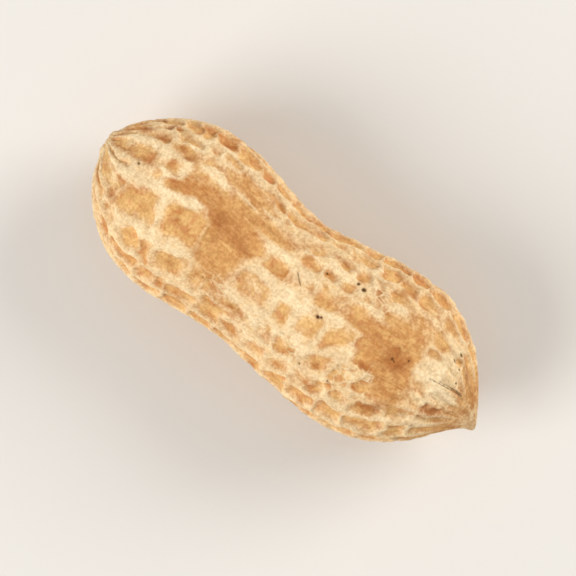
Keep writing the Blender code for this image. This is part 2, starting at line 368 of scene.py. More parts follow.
UPPER_VEINS = {
    5: (-17.0, -15.0, -12.9, -10.9, -8.6, -6.9, -4.9, -2.3, 0.6, 3.3, 5.6, 8.0, 10.6, 13.2, 15.6),
    6: (-18.4, -16.2, -13.7, -11.7, -9.6, -4.5, -2.2, 0.2, 2.4, 5.0, 7.6, 10.2, 13.0, 15.8),
    7: (-16.2, -13.2, -6.8, -4.0, -1.2, 1.9, 3.9, 5.8, 7.8, 10.0, 13.6, 16.4),
    8: (-16.1, -13.7, -9.2, -5.2, -0.7, 1.2, 3.2, 5.5, 8.2, 11.0, 13.8, 16.2),
    9: (-17.6, -15.1, -8.6, -3.7, -0.3, 1.6, 4.9, 9.2, 13.3, 15.9),
    10: (-17.7, -13.5, -9.3, -4.6, -0.8, 2.0, 4.7, 7.5, 10.3, 13.2, 16.0),
    11: (-18.2, -16.1, -13.7, -11.3, -8.6, -6.2, -1.2, 1.6, 4.4, 7.3, 9.8, 12.9, 16.0),
    12: (-18.0, -16.0, -12.5, -10.7, -9.0, -6.3, -3.4, -0.4, 1.8, 3.9, 5.9, 8.0, 10.8, 13.0, 16.1),
    13: (-17.0, -14.6, -11.8, -9.0, -6.2, -3.4, -0.6, 2.2, 5.0, 7.8, 10.8, 14.2, 16.4),
}
HIDDEN_VEIN_GAP = (2.0, 3.6)
HIDDEN_VEINS_FROM = -18.4
HIDDEN_VEINS_TO = 16.6
WANDER_DEGREES = 1.3
WANDER_MM = 0.12


def rib_angles(x):
    """The angle of each rib at x, with the last rib on top of the first, one turn on."""
    angles = np.empty(RIBS + 1)
    upper = sorted(UPPER_RIBS)
    for rib in upper:
        angles[rib] = smooth_through(RIB_STATIONS, UPPER_RIBS[rib], np.array([x]))[0]
    first, last = upper[0], upper[-1]
    under = np.linspace(angles[last], angles[first] + 360.0, first + RIBS - last + 1)
    angles[last:] = under[: RIBS - last + 1]
    angles[: first + 1] = under[RIBS - last :] - 360.0
    return angles


def row_places():
    """Distances along the outline of the net's rows, and the first and last row that has cells."""
    stem = list(STEM_ROWS)
    net = np.linspace(NET_START, OUTLINE_LENGTH - NET_END_MARGIN, NET_ROWS + 1)
    beak = [OUTLINE_LENGTH - margin for margin in BEAK_ROWS_MARGIN]
    return np.array(stem + list(net) + beak), len(stem), len(stem) + NET_ROWS


def vein_places(rng):
    """For each column between two ribs, the places along X of its veins."""
    veins = dict(UPPER_VEINS)
    for column in range(RIBS):
        if column in veins:
            continue
        places = [HIDDEN_VEINS_FROM + rng.uniform(0.0, HIDDEN_VEIN_GAP[1])]
        while places[-1] < HIDDEN_VEINS_TO:
            places.append(places[-1] + rng.uniform(*HIDDEN_VEIN_GAP))
        veins[column] = places[:-1]
    return veins


def net_layout():
    """The crossings of ribs and rows as distances along and angles, and each column's vein rows by place."""
    rng = np.random.default_rng(SEED)
    rows, first, last = row_places()
    row_gap = (rows[last] - rows[first]) / NET_ROWS
    shift = np.zeros((len(rows), RIBS))
    count = np.zeros((len(rows), RIBS))
    vein_rows = {column: {} for column in range(RIBS)}
    for column, places in vein_places(rng).items():
        for x in places:
            along = np.interp(x, TABLE_X, LENGTH)
            row = int(np.clip(round((along - rows[first]) / row_gap) + first, first + 1, last - 1))
            vein_rows[column][row] = x
            for rib in (column, (column + 1) % RIBS):
                shift[row, rib] += along - rows[row]
                count[row, rib] += 1
    limit = ROW_SHIFT_LIMIT * row_gap
    shift = np.clip(shift / np.maximum(count, 1), -limit, limit)
    inside = (np.arange(len(rows)) > first) & (np.arange(len(rows)) < last)
    shift += inside[:, None] * rng.uniform(-WANDER_MM, WANDER_MM, shift.shape)
    turn = inside[:, None] * rng.uniform(-WANDER_DEGREES, WANDER_DEGREES, shift.shape)
    shift = np.hstack([shift, shift[:, :1]])
    turn = np.hstack([turn, turn[:, :1]])
    along = rows[:, None] + shift
    angle = np.stack([rib_angles(np.interp(row, LENGTH, TABLE_X)) for row in rows]) + turn
    return along, angle, vein_rows


NET_ALONG, NET_ANGLE, VEIN_ROWS = net_layout()
print(RIBS, "ribs and", sum(len(rows) for rows in VEIN_ROWS.values()), "veins")

# %% [markdown]
# ## From lines to ridges
#
# A vein in a shell isn't a tube laid on the skin. It swells out of the skin with soft flanks, and
# where two meet, the corner between them is filled. So each line gives a profile from 0 to 1 by its
# distance, and the profiles are joined as 1 minus the product of what each leaves free, which
# rounds the corners by itself.
#
# The map is bent by small hills first, so that no line is straight. Each point then knows its
# column, the share of the way across it, and from these its distance to both ribs and every vein.
# A vein has a bow, in mm, and some have a slant. The most striking cells of the real pod owe their
# shape to these two, so their veins are listed by column and place. The others get a random bow.
# Ridges swell and fade by hills too. They are thinner on the flanks and narrower near both ends.
#
# The same lines are drawn twice. The first net is the relief. The second is wider and softer, and
# it is where the pale straw colour goes, because on the real pod the colour spreads past the ridge.

# %% The raised net
RIDGE_WIDTHS = (0.54, 0.46)
RIDGE_POWER = 2.1
STRAW_WIDTHS = (0.66, 0.54)
STRAW_POWER = 1.7
VEIN_SHARES = (0.6, 0.95)
RIB_SHARE = 0.95
BEND_MM = 0.34
BEND_ALONG_HILLS = (1.3, 40, 21, 3)
BEND_ANGLE_HILLS = (1.5, 36, 31, 3)
SWELL = 0.4
SWELL_HILLS = (1.8, 28, 41, 2)
FADE_MIDDLE = 0.9
FADE_SWING = 0.3
FADE_LOWEST = 0.3
FADE_HILLS = (3.6, 15, 45, 2)
VEIN_BOW = 0.55
SHAPED_VEINS = {
    (10, -13.5): (0.0, 1.1),
    (10, -9.3): (0.45, 0.1),
    (9, -15.1): (0.1, -0.7),
    (9, -3.7): (0.2, -1.0),
    (8, -13.7): (0.4, -0.3),
    (8, -16.1): (-0.4, 0.2),
    (11, 4.4): (0.0, -0.9),
    (12, 5.9): (0.1, -0.8),
    (11, 12.9): (0.0, -0.6),
    (12, 13.0): (0.4, 0.9),
    (12, 10.8): (-0.3, -0.6),
}
FULL_WIDTH_RADIUS = 5.5
COLLAR_SHARE = 0.42
SIDE_ANGLES = (35.0, 75.0)
SIDE_THINNING = 0.3
NARROWING = np.minimum(HALF / FULL_WIDTH_RADIUS, 1.0)


def eased_between(value, low, high):
    """0 below low and 1 above high, with a slope between that starts and ends level."""
    return ease(np.clip((value - low) / (high - low), 0.0, 1.0))


def ridge(distance, width, power):
    """The profile of a ridge: 1 on its line, falling as the exponential of a power of the distance."""
    return np.exp(-((np.abs(distance) / width) ** power))


def raised_net(widths, power):
    """The net from 0 on the floor of a cell to 1 on a rib, and a random number from -1 to 1 for each cell.

    A vein's bow is a parabola, 4 times share times rest, which is 0 at both ribs and 1 halfway.
    """
    bend_along = BEND_MM * rough_hills(*BEND_ALONG_HILLS)
    bend_angle = BEND_MM * rough_hills(*BEND_ANGLE_HILLS)
    along = ALONG + bend_along * NARROWING
    angle = ANGLE + bend_angle * NARROWING / MM_PER_DEGREE
    swell = 1.0 + SWELL * rough_hills(*SWELL_HILLS)
    swell *= 1.0 - SIDE_THINNING * eased_between(np.abs(ANGLE), *SIDE_ANGLES)
    fade = np.clip(FADE_MIDDLE + FADE_SWING * rough_hills(*FADE_HILLS), FADE_LOWEST, 1.0)
    ribs = [smooth_through(NET_ALONG[:, rib], NET_ANGLE[:, rib], along) for rib in range(RIBS + 1)]
    angle = ribs[0] + (angle - ribs[0]) % 360.0
    net = np.zeros_like(along)
    cell_tone = np.zeros_like(along)
    rng = np.random.default_rng(SEED + 2)
    for column in range(RIBS):
        inside = (angle >= ribs[column]) & (angle < ribs[column + 1])
        across = ((angle - ribs[column]) / (ribs[column + 1] - ribs[column]))[inside]
        width = ((ribs[column + 1] - ribs[column]) * MM_PER_DEGREE)[inside]
        rib_width = (widths[0] * swell * np.maximum(NARROWING, COLLAR_SHARE))[inside]
        vein_width = (widths[1] * swell)[inside]
        place = along[inside]
        free = 1.0 - RIB_SHARE * ridge(across * width, rib_width, power)
        free *= 1.0 - RIB_SHARE * ridge((1.0 - across) * width, rib_width, power)
        tone = np.full(place.shape, rng.uniform(-1.0, 1.0))
        for row, vein_x in sorted(VEIN_ROWS[column].items()):
            left = NET_ALONG[row, column]
            bow, slant = SHAPED_VEINS.get((column, vein_x), (rng.uniform(-VEIN_BOW, VEIN_BOW), 0.0))
            lean = NET_ALONG[row, column + 1] - left + slant
            line = left - slant / 2 + lean * across + bow * 4.0 * across * (1.0 - across)
            slope = lean / width
            distance = (place - line) / np.sqrt(1.0 + slope**2)
            free *= 1.0 - rng.uniform(*VEIN_SHARES) * ridge(distance, vein_width, power)
            tone[place > line] = rng.uniform(-1.0, 1.0)
        net[inside] = 1.0 - free
        cell_tone[inside] = tone
    return net * fade, cell_tone


NET, CELL_TONE = raised_net(RIDGE_WIDTHS, RIDGE_POWER)
STRAW_NET, _ = raised_net(STRAW_WIDTHS, STRAW_POWER)
print("share of the skin on ridges:", round(float((NET > 0.5).mean()), 2))

# %% [markdown]
# ## Marks of its own
#
# Some things belong to this one pod. On one lobe and near the beak the net is worn away to smooth
# brown wall. There are dark specks where soil stuck in a pore, and three fine scratches. All of them
# are placed by X in millimetres and by their angle. A speck has a radius, and a scratch has two ends
# and a width. The two flats are where the pod rests.

# %% Worn patches, specks and scratches
WORN = (
    (-6.8, -8.0, 2.3, 24.0, 1.0),
    (-6.6, 24.0, 1.8, 16.0, 0.65),
    (-11.2, -15.0, 2.6, 7.0, 0.95),
    (-6.4, -36.0, 2.2, 12.0, 0.5),
    (-9.2, -44.0, 2.3, 6.0, 0.9),
    (11.2, -6.0, 2.2, 20.0, 0.95),
    (12.4, 14.0, 1.5, 14.0, 0.8),
    (11.8, -38.0, 2.4, 22.0, 0.65),
    (13.2, -46.0, 1.6, 10.0, 0.4),
    (13.4, 22.0, 1.4, 12.0, 0.45),
    (8.4, -12.0, 2.0, 6.0, 0.6),
    (19.8, 0.0, 1.8, 400.0, 1.0),
)
FLATS = (
    (-10.4, 180.0, 3.6, 26.0, 1.0),
    (8.2, 180.0, 3.6, 26.0, 1.0),
)
SPECKS = (
    (5.45, -31.5, 0.27),
    (4.75, -33.5, 0.19),
    (3.45, 1.5, 0.24),
    (3.75, 0.5, 0.18),
    (1.85, -29.0, 0.16),
    (16.1, -43.0, 0.2),
    (16.0, -33.0, 0.2),
    (16.7, -31.0, 0.13),
    (17.2, -18.0, 0.13),
    (-17.6, -8.0, 0.18),
    (-6.8, 32.0, 0.13),
    (11.2, -11.0, 0.13),
    (12.6, -7.0, 0.13),
    (11.3, -2.0, 0.2),
    (11.6, -1.0, 0.12),
    (4.6, 36.0, 0.15),
    (7.6, 33.0, 0.13),
)
SCRATCHES = (
    ((15.0, -5.0), (18.4, -9.0), 0.08),
    ((15.8, -8.0), (18.4, -12.0), 0.07),
    ((-0.3, -16.5), (0.6, -9.5), 0.1),
)
SCRATCH_SHARE = 0.7
WORN_EDGE = 0.12
WORN_HILLS = (2.0, 26, 51)
FLAT_CORE = 1.3
WORN_LOSS = 0.9


def flat_offset(x, angle):
    """Distances in mm along X and around from a point of the map to the grid's points."""
    return X_PLACE - x, turn_from(angle, ANGLE) * MM_PER_DEGREE


def scratch_depth(start, end, width):
    """1 on the line between two points of the map, falling as a bell across it."""
    ahead, around = flat_offset(*start)
    half = float(np.interp(start[0], TABLE_X, TABLE_HALF))
    span_x = end[0] - start[0]
    span_y = (end[1] - start[1]) * half * DEGREE
    length = math.hypot(span_x, span_y)
    run = np.clip((ahead * span_x + around * span_y) / length, 0.0, length)
    gap = np.hypot(ahead - run * span_x / length, around - run * span_y / length)
    return np.exp(-((gap / width) ** 2))


worn = np.clip(spots(WORN, X_PLACE, ANGLE) + WORN_EDGE * rough_hills(*WORN_HILLS), 0.0, 1.0)
flats = np.clip(spots(FLATS, X_PLACE, ANGLE) * FLAT_CORE, 0.0, 1.0)
net = NET * (1.0 - WORN_LOSS * worn)
straw = STRAW_NET * (1.0 - WORN_LOSS * worn)

specks = np.zeros_like(net)
for speck_x, speck_angle, speck_radius in SPECKS:
    ahead, around = flat_offset(speck_x, speck_angle)
    specks = np.maximum(specks, np.exp(-((np.hypot(ahead, around) / speck_radius) ** 2)))
for start, end, width in SCRATCHES:
    specks = np.maximum(specks, SCRATCH_SHARE * scratch_depth(start, end, width))
print("worn share of the skin:", round(float(worn.mean()), 2))

# %% [markdown]
# ## Height of the skin
#
# All heights are measured straight out of the bare skin, whose level is just above the ribs. The
# cells lie about 0.4 mm lower than the ribs. Fibres lie along the pod as faint streaks, much longer
# than wide, and a fine grain covers everything. The stalk's scar is a rough low ring round a small
# pit. Net, wrinkles, grain and streaks all shrink towards the ends, where the ribs draw together.

# %% Relief
NET_DEPTH = 0.5
DEPTH_SWING = 0.25
DEPTH_HILLS = (4.0, 14, 71, 2)
WRINKLE = 0.06
WRINKLE_HILLS = (0.8, 64, 81, 2)
RIB_SMOOTHNESS = 0.5
GRAIN = 0.025
GRAIN_HILLS = (0.34, 150, 85)
STREAK = 0.05
STREAK_HILLS = (3.5, 72, 91, 2)
SCAR_RING_RADIUS = 0.95
SCAR_RING_WIDTH = 0.4
SCAR_RING_HEIGHT = 0.3
SCAR_PIT_WIDTH = 0.45
SCAR_PIT_DEPTH = 0.35
SCAR_REACH = 1.3
SCAR_ROUGHNESS = 0.14
SCAR_HILLS = (0.45, 14, 95, 2)
SPECK_DEPTH = 0.12


def scar_height(along):
    """A bell shaped ring about the pole of the stem end, less a bell shaped pit in its middle."""
    ring = SCAR_RING_HEIGHT * np.exp(-(((along - SCAR_RING_RADIUS) / SCAR_RING_WIDTH) ** 2))
    return ring - SCAR_PIT_DEPTH * np.exp(-((along / SCAR_PIT_WIDTH) ** 2))


depth = NET_DEPTH * (1.0 + DEPTH_SWING * rough_hills(*DEPTH_HILLS)) * NARROWING
height = -depth * (1.0 - net)
height += WRINKLE * rough_hills(*WRINKLE_HILLS) * (1.0 - RIB_SMOOTHNESS * net) * NARROWING
height += GRAIN * hills(*GRAIN_HILLS) * NARROWING
height += STREAK * rough_hills(*STREAK_HILLS) * NARROWING
height -= SPECK_DEPTH * specks
height *= 1.0 - flats
scar = np.exp(-((ALONG / SCAR_REACH) ** 2))
height += scar_height(ALONG) + SCAR_ROUGHNESS * rough_hills(*SCAR_HILLS) * scar
print("relief from", round(float(height.min()), 2), "to", round(float(height.max()), 2), "mm")

# %% [markdown]
# ## The mesh
#
# The grid becomes one closed skin. Its columns join up round the pod, and a fan of triangles round
# a single point closes each end. The underside is pressed flat where the pod rests. The whole is
# then moved level until its box has the same middle as the solid model's.


# %% Points and faces
def closed_skin(points, stem_pole, beak_pole):
    """Vertices and faces of a grid that closes on itself across its columns, with a pole at each end."""
    rows, columns = points.shape[:2]
    index = np.arange(rows * columns).reshape(rows, columns)
    beside = np.roll(index, -1, axis=1)
    quads = np.stack([index[:-1], beside[:-1], beside[1:], index[1:]], axis=-1).reshape(-1, 4)
    stem = np.full(columns, rows * columns)
    beak = stem + 1
    fans = np.vstack(
        [
            np.stack([stem, beside[0], index[0]], axis=-1),
            np.stack([beak, index[-1], beside[-1]], axis=-1),
        ]
    )
    vertices = np.vstack([points.reshape(-1, 3), stem_pole, beak_pole])
    return vertices, quads.tolist() + fans.tolist()


points = skin_point(ALONG, ANGLE) + skin_normal(ALONG, ANGLE) * height[..., None]
stem_pole = points[0].mean(axis=0)
beak_pole = skin_point(OUTLINE_LENGTH, 0.0)
vertices, faces = closed_skin(points, stem_pole, beak_pole)
vertices[:, 2] = np.maximum(vertices[:, 2], 0.0)
pod_middle = (vertices.min(axis=0) + vertices.max(axis=0)) / 2
solid_middle = np.array(middle) / MM
vertices[:, :2] += (solid_middle - pod_middle)[:2]

mesh = bpy.data.meshes.new("peanut_shell")
mesh.from_pydata(vertices * MM, [], faces)
mesh.shade_smooth()
shell = bpy.data.objects.new("peanut_shell", mesh)
bpy.context.scene.collection.objects.link(shell)
print(len(vertices), "points,", len(faces), "faces")

# %% [markdown]
# ## Notes for the painter
#
# The colours follow the relief, so the mesh carries the same maps as attributes, one number for
# each point: both nets, the worn patches, the tone of each cell, the specks and the scar. Three more
# are lists of soft spots: where the straw is paler, together with a band of painted shade that makes
# it less pale along the +Y flank; which cells are darker; and where a finer net of veinlets fills
# the cells. The last gives every point a place on an unrolled tube.
# Fibres painted in it run along the pod and gather at both ends, as the real ones do.

# %% Attributes
PALE_AND_FLANK_SHADE = (
    (-19.0, -39.0, 1.2, 7.0, 0.8),
    (-17.2, -31.0, 1.2, 5.0, 0.8),
    (-16.0, -24.0, 0.5, 6.0, 0.6),
    (-14.0, -46.5, 0.6, 4.0, 0.5),
    (-13.9, -22.0, 0.5, 8.0, 0.8),
    (-15.0, -13.5, 1.0, 3.5, 0.8),
    (-15.0, -28.0, 1.0, 3.5, 0.6),
    (-18.6, 4.0, 1.7, 7.0, 0.9),
    (-16.2, -1.0, 1.2, 4.5, 0.9),
    (-14.1, 1.0, 1.0, 5.0, 0.75),
    (-14.2, -19.5, 0.8, 4.0, 0.6),
    (-12.2, -4.0, 1.2, 4.5, 1.0),
    (-11.1, -5.5, 0.8, 4.5, 0.7),
    (-15.0, -9.0, 0.5, 5.0, 0.6),
    (-13.5, 6.0, 0.45, 8.0, 0.8),
    (-12.9, 18.0, 0.45, 8.0, 0.7),
    (-19.2, 17.0, 1.3, 12.0, 0.6),
    (-16.8, 42.0, 1.5, 5.0, 1.0),
    (-14.4, 33.0, 1.0, 4.0, 0.7),
    (-12.4, 29.0, 1.4, 5.0, 0.9),
    (-10.4, 27.0, 1.3, 4.5, 0.9),
    (-11.4, -29.5, 1.3, 3.5, 0.7),
    (-7.2, -32.5, 1.6, 2.2, 0.9),
    (-7.6, -52.0, 1.8, 3.0, 0.5),
    (-5.4, -38.0, 1.0, 2.5, 0.8),
    (-5.0, 28.0, 1.3, 9.0, 0.35),
    (-4.7, 37.0, 0.9, 3.5, 0.6),
    (-9.9, -26.5, 0.7, 3.5, 0.6),
    (-10.8, -46.0, 1.6, 5.0, 0.7),
    (-10.0, -56.0, 4.0, 3.0, 0.4),
    (-17.2, -58.0, 1.5, 4.0, 0.4),
    (-14.9, 24.0, 0.9, 5.0, 0.25),
    (-8.0, 51.0, 1.4, 3.5, 0.9),
    (-10.3, 51.0, 0.8, 3.0, 0.5),
    (-13.3, 51.0, 1.0, 3.0, 0.5),
    (-2.2, -19.0, 2.6, 4.5, 0.7),
    (0.7, -11.0, 0.8, 9.0, 0.9),
    (-0.2, -10.5, 0.35, 4.0, 0.4),
    (-2.0, 2.5, 1.7, 4.0, 0.8),
    (1.4, 2.5, 2.0, 4.5, 0.9),
    (4.8, -2.0, 1.7, 4.5, 0.9),
    (-0.7, 14.0, 0.5, 10.0, 0.7),
    (-3.0, 31.0, 2.2, 4.5, 1.1),
    (-2.3, 50.0, 1.3, 4.0, 0.9),
    (-0.1, 36.0, 0.7, 5.0, 0.9),
    (3.4, 47.5, 1.2, 4.0, 0.8),
    (-2.8, 13.0, 1.6, 8.0, 0.75),
    (2.0, 11.0, 4.6, 13.0, 0.3),
    (1.8, 27.5, 2.2, 5.0, 0.8),
    (4.6, 24.0, 1.4, 6.0, 0.6),
    (4.8, 31.0, 0.8, 4.0, 0.4),
    (7.5, 43.0, 0.6, 5.0, 0.7),
    (10.3, 18.0, 0.5, 4.0, 0.7),
    (1.8, 15.0, 0.4, 10.0, 0.6),
    (4.5, 10.0, 0.5, 9.0, 0.6),
    (7.5, 8.0, 0.6, 9.0, 0.45),
    (7.0, -26.0, 1.5, 5.0, 0.9),
    (6.4, -39.0, 1.4, 5.0, 0.6),
    (5.7, -42.0, 0.4, 4.0, 0.5),
    (5.2, -28.0, 0.6, 3.5, 0.6),
    (3.1, -27.0, 0.4, 3.5, 0.5),
    (0.9, -24.0, 0.7, 3.0, 0.5),
    (4.0, -53.0, 1.2, 3.5, 0.5),
    (8.8, -33.0, 0.7, 5.0, 0.9),
    (9.7, -36.0, 0.5, 4.5, 0.5),
    (2.8, -35.0, 1.6, 4.0, 0.5),
    (8.4, 20.0, 0.9, 7.0, 0.4),
    (9.5, 45.0, 1.2, 6.0, 0.6),
    (13.0, -21.0, 0.8, 6.0, 0.3),
    (12.0, -38.0, 1.6, 8.0, 0.35),
    (2.0, 44.0, 1.6, 5.0, 0.3),
    (7.3, 6.0, 0.5, 6.0, 0.4),
    (-0.2, 0.0, 0.8, 5.0, 0.6),
    (-11.2, 42.0, 1.2, 5.0, 0.3),
    (14.5, -6.0, 1.2, 9.0, 1.4),
    (16.3, -1.0, 0.95, 8.0, 1.1),
    (15.4, -44.0, 0.8, 9.0, 0.55),
    (14.4, -47.0, 0.7, 3.5, 0.6),
    (16.7, 3.0, 1.1, 6.0, 0.7),
    (17.7, 4.0, 0.6, 8.0, 0.7),
    (13.1, 34.5, 0.5, 4.0, 0.5),
    (12.2, 52.0, 1.4, 4.0, 0.5),
    (7.8, -23.0, 0.5, 3.0, 0.7),
    (15.5, -28.0, 0.7, 10.0, 0.7),
    (15.0, -16.0, 1.2, 9.0, 0.5),
    (15.9, 14.0, 0.4, 6.0, 0.6),
    (16.5, 23.0, 0.35, 5.0, 0.6),
    (15.4, 37.0, 1.2, 4.0, 0.7),
    (16.9, 47.0, 1.1, 6.0, 1.0),
    (18.5, 34.0, 0.9, 9.0, 0.2),
    (12.6, 62.0, 2.4, 5.0, 0.5),
    (13.6, 44.0, 0.8, 4.0, 0.7),
    (14.2, 22.0, 1.2, 8.0, 0.5),
    (12.8, -46.0, 1.8, 7.0, 0.6),
    (-19.5, -26.0, 0.8, 8.0, 0.7),
    (-14.3, -42.0, 1.4, 3.5, 0.4),
    (20.2, 0.0, 1.1, 400.0, 0.7),
    (11.6, -4.0, 2.2, 16.0, -0.6),
    (-7.2, -10.0, 2.4, 24.0, -0.5),
    # Painted shade: a faint band that makes the straw less pale along the whole +Y flank.
    (0.0, -76.0, 20.0, 12.0, -0.2),
    (-14.6, -52.0, 2.0, 9.0, 0.1),
)
DARK_CELLS = (
    (-17.4, -41.0, 0.8, 5.0, 0.7),
    (-15.2, -38.0, 0.6, 4.0, 0.9),
    (-13.9, -34.0, 0.7, 4.0, 0.7),
    (-14.0, -29.0, 1.0, 3.0, 0.9),
    (-15.0, -20.5, 0.6, 4.0, 0.25),
    (-16.0, -13.0, 0.7, 4.0, 0.5),
    (-16.9, -15.0, 0.6, 4.0, 0.5),
    (-13.7, -9.5, 1.1, 4.0, 0.9),
    (-12.9, -15.0, 0.9, 4.0, 0.4),
    (-13.9, -70.0, 0.9, 5.0, 0.9),
    (-11.9, -65.0, 0.7, 4.5, 0.9),
    (-19.2, -54.0, 0.7, 6.0, 0.6),
    (-11.2, 11.0, 1.5, 8.0, 0.4),
    (-11.8, 9.5, 0.3, 2.0, 0.6),
    (-17.2, 56.0, 0.8, 4.0, 0.7),
    (-12.4, 40.0, 0.8, 4.0, 0.25),
    (-10.0, 38.0, 0.9, 4.0, 0.7),
    (-14.8, 43.0, 0.9, 3.5, 0.4),
    (-9.7, 61.0, 0.6, 3.5, 0.5),
    (-7.8, 62.0, 0.7, 3.5, 0.5),
    (-18.1, 35.0, 0.9, 4.0, 0.8),
    (-18.3, 12.0, 1.0, 4.0, 1.2),
    (-20.2, 50.0, 0.5, 10.0, 0.6),
    (-17.3, 28.0, 0.7, 4.0, 0.45),
    (-7.8, -10.0, 2.0, 10.0, 0.6),
    (-10.4, -15.0, 1.2, 5.0, 0.35),
    (-8.8, -3.0, 0.9, 8.0, 0.3),
    (-5.8, -4.0, 1.3, 4.5, 0.55),
    (-2.9, -30.0, 2.0, 4.0, 0.55),
    (-1.9, -31.5, 0.7, 4.0, 0.4),
    (-4.6, -2.0, 0.8, 4.0, 0.5),
    (-1.6, -9.5, 1.0, 4.0, 0.6),
    (3.0, -10.0, 1.1, 4.0, 0.5),
    (6.6, -10.0, 1.4, 4.0, 0.5),
    (5.9, 30.5, 0.5, 4.0, 0.9),
    (6.4, 46.0, 0.5, 5.0, 0.5),
    (-1.8, 60.0, 0.9, 3.0, 0.4),
    (-3.2, 38.0, 1.0, 3.0, 0.6),
    (0.8, 35.0, 0.4, 3.0, 0.6),
    (5.0, 53.0, 0.4, 3.0, 0.8),
    (5.0, 42.0, 0.4, 3.0, 0.5),
    (0.3, -30.0, 0.5, 3.0, 0.15),
    (2.5, -46.0, 1.0, 4.5, 0.5),
    (-3.0, -53.0, 2.2, 3.5, 0.45),
    (2.1, -29.0, 0.4, 3.0, 0.5),
    (4.3, -27.0, 0.7, 4.0, 0.35),
    (3.0, -45.0, 0.6, 3.5, 0.4),
    (4.6, -41.0, 0.5, 3.5, 0.4),
    (6.5, -36.5, 0.35, 2.5, 0.4),
    (7.3, -31.0, 0.6, 2.5, 0.8),
    (6.7, -36.0, 0.5, 4.0, 0.6),
    (-5.5, -50.0, 0.8, 3.5, 0.3),
    (-1.5, -53.0, 0.7, 4.0, 0.5),
    (-3.7, -46.0, 0.35, 3.0, 0.6),
    (-5.4, -66.0, 2.4, 5.0, 0.5),
    (0.4, -69.0, 1.6, 5.0, 0.4),
    (4.4, -64.0, 1.3, 5.0, 0.5),
    (16.6, 22.5, 0.9, 7.5, 1.6),
    (12.1, 40.0, 1.0, 6.0, 0.7),
    (12.6, 33.0, 0.7, 4.0, 0.7),
    (11.3, 37.0, 0.6, 4.0, 0.7),
    (7.8, 34.0, 0.5, 4.0, 0.9),
    (8.6, 38.0, 0.7, 5.0, 0.5),
    (10.1, 28.0, 0.35, 5.0, 0.7),
    (7.7, 3.0, 0.5, 5.0, 0.5),
    (15.2, 51.0, 0.7, 5.0, 0.8),
    (13.6, 70.0, 1.1, 5.0, 0.9),
    (11.7, -0.5, 1.1, 6.0, 1.3),
    (11.1, -9.0, 0.5, 3.5, 0.8),
    (12.6, -8.0, 0.4, 3.0, 0.8),
    (9.2, -6.0, 1.8, 7.0, 0.35),
    (11.0, 14.0, 1.0, 6.0, 0.2),
    (9.6, 12.5, 0.9, 3.5, 1.0),
    (13.2, 27.5, 0.7, 4.0, 0.5),
    (-13.4, 39.0, 0.5, 3.5, 0.4),
    (16.8, -43.0, 0.7, 6.0, 0.8),
    (-13.9, -4.0, 0.5, 3.0, 0.3),
    (0.5, 8.5, 0.6, 4.0, 0.4),
    (-3.0, 44.0, 0.9, 3.0, 0.6),
    (-6.3, 52.0, 0.6, 4.0, 0.6),
    (6.0, 11.0, 0.5, 5.0, 0.4),
    (4.8, -36.0, 0.5, 4.0, 0.7),
    (8.4, -26.0, 0.7, 2.5, 0.9),
    (14.5, -31.0, 0.45, 5.0, 0.7),
    (8.6, -47.0, 0.6, 4.0, 0.9),
    (-16.8, -58.0, 0.9, 5.0, 1.2),
    (-18.7, -50.0, 0.6, 5.0, 0.8),
    (-20.3, -20.0, 0.4, 16.0, 0.35),
    (17.7, -37.0, 0.9, 9.0, 0.5),
    (19.0, -38.0, 0.7, 16.0, 0.5),
    (-14.5, -54.0, 0.9, 3.0, 0.5),
    (-14.3, -47.0, 0.9, 2.5, 0.35),
    (-12.5, -47.0, 0.5, 3.0, 0.4),
)
FINE_NET = (
    (9.2, 24.0, 2.2, 14.0, 1.0),
    (3.4, 34.0, 1.4, 8.0, 0.8),
    (7.0, -34.0, 1.6, 12.0, 0.6),
    (-5.0, 28.0, 2.0, 9.0, 0.6),
    (0.0, 180.0, 40.0, 110.0, 0.35),
)
TUBE_RADIUS = 7.8


def give_attribute(name, values, pole_values):
    """Stores one number for each point of the skin, and last those of the stem's and the beak's pole."""
    attribute = mesh.attributes.new(name, "FLOAT", "POINT")
    flat = np.concatenate([values.ravel(), pole_values]).astype(np.float32)
    attribute.data.foreach_set("value", flat)


pale = spots(PALE_AND_FLANK_SHADE, X_PLACE, ANGLE)
dark = spots(DARK_CELLS, X_PLACE, ANGLE)
give_attribute("net", net, (0.3, 0.0))
give_attribute("straw", straw, (0.3, 0.0))
give_attribute("worn", worn, (0.5, 1.0))
give_attribute("cell_tone", CELL_TONE, (0.0, 0.0))
give_attribute("pale", pale, (0.0, 0.0))
give_attribute("dark", dark, (0.8, 0.3))
give_attribute("speck", specks, (0.0, 0.0))
give_attribute("scar", scar, (1.0, 0.0))
give_attribute("fine_net", spots(FINE_NET, X_PLACE, ANGLE), (0.0, 0.0))
turn = np.radians(ANGLE)
tube = np.stack([ALONG, TUBE_RADIUS * np.sin(turn), TUBE_RADIUS * np.cos(turn)], axis=-1).reshape(-1, 3)
tube = np.vstack([tube, [0.0, 0.0, 0.0], [OUTLINE_LENGTH, 0.0, 0.0]]).astype(np.float32)
tube_attribute = mesh.attributes.new("tube", "FLOAT_VECTOR", "POINT")
tube_attribute.data.foreach_set("vector", tube.ravel())
print("attributes:", ", ".join(a.name for a in mesh.attributes if not a.is_internal))

# %% [markdown]
# ## Shader maths in plain Python
#
# A material is a web of nodes, and sums of masks are hard to read as a web. A small class wraps a
# socket, so that adding or multiplying two of them makes the Math node for it. The sums below then
# read as sums.


# %% A socket that does arithmetic
class Value:
    """A number that varies over the surface. Its operators add Math nodes."""

    def __init__(self, paint, socket):
        self.paint = paint
        self.socket = socket

    def __add__(self, other):
        return self.paint.math("ADD", self, other)

    def __sub__(self, other):
        return self.paint.math("SUBTRACT", self, other)

    def __rsub__(self, other):
        return self.paint.math("SUBTRACT", other, self)

    def __mul__(self, other):
        return self.paint.math("MULTIPLY", self, other)


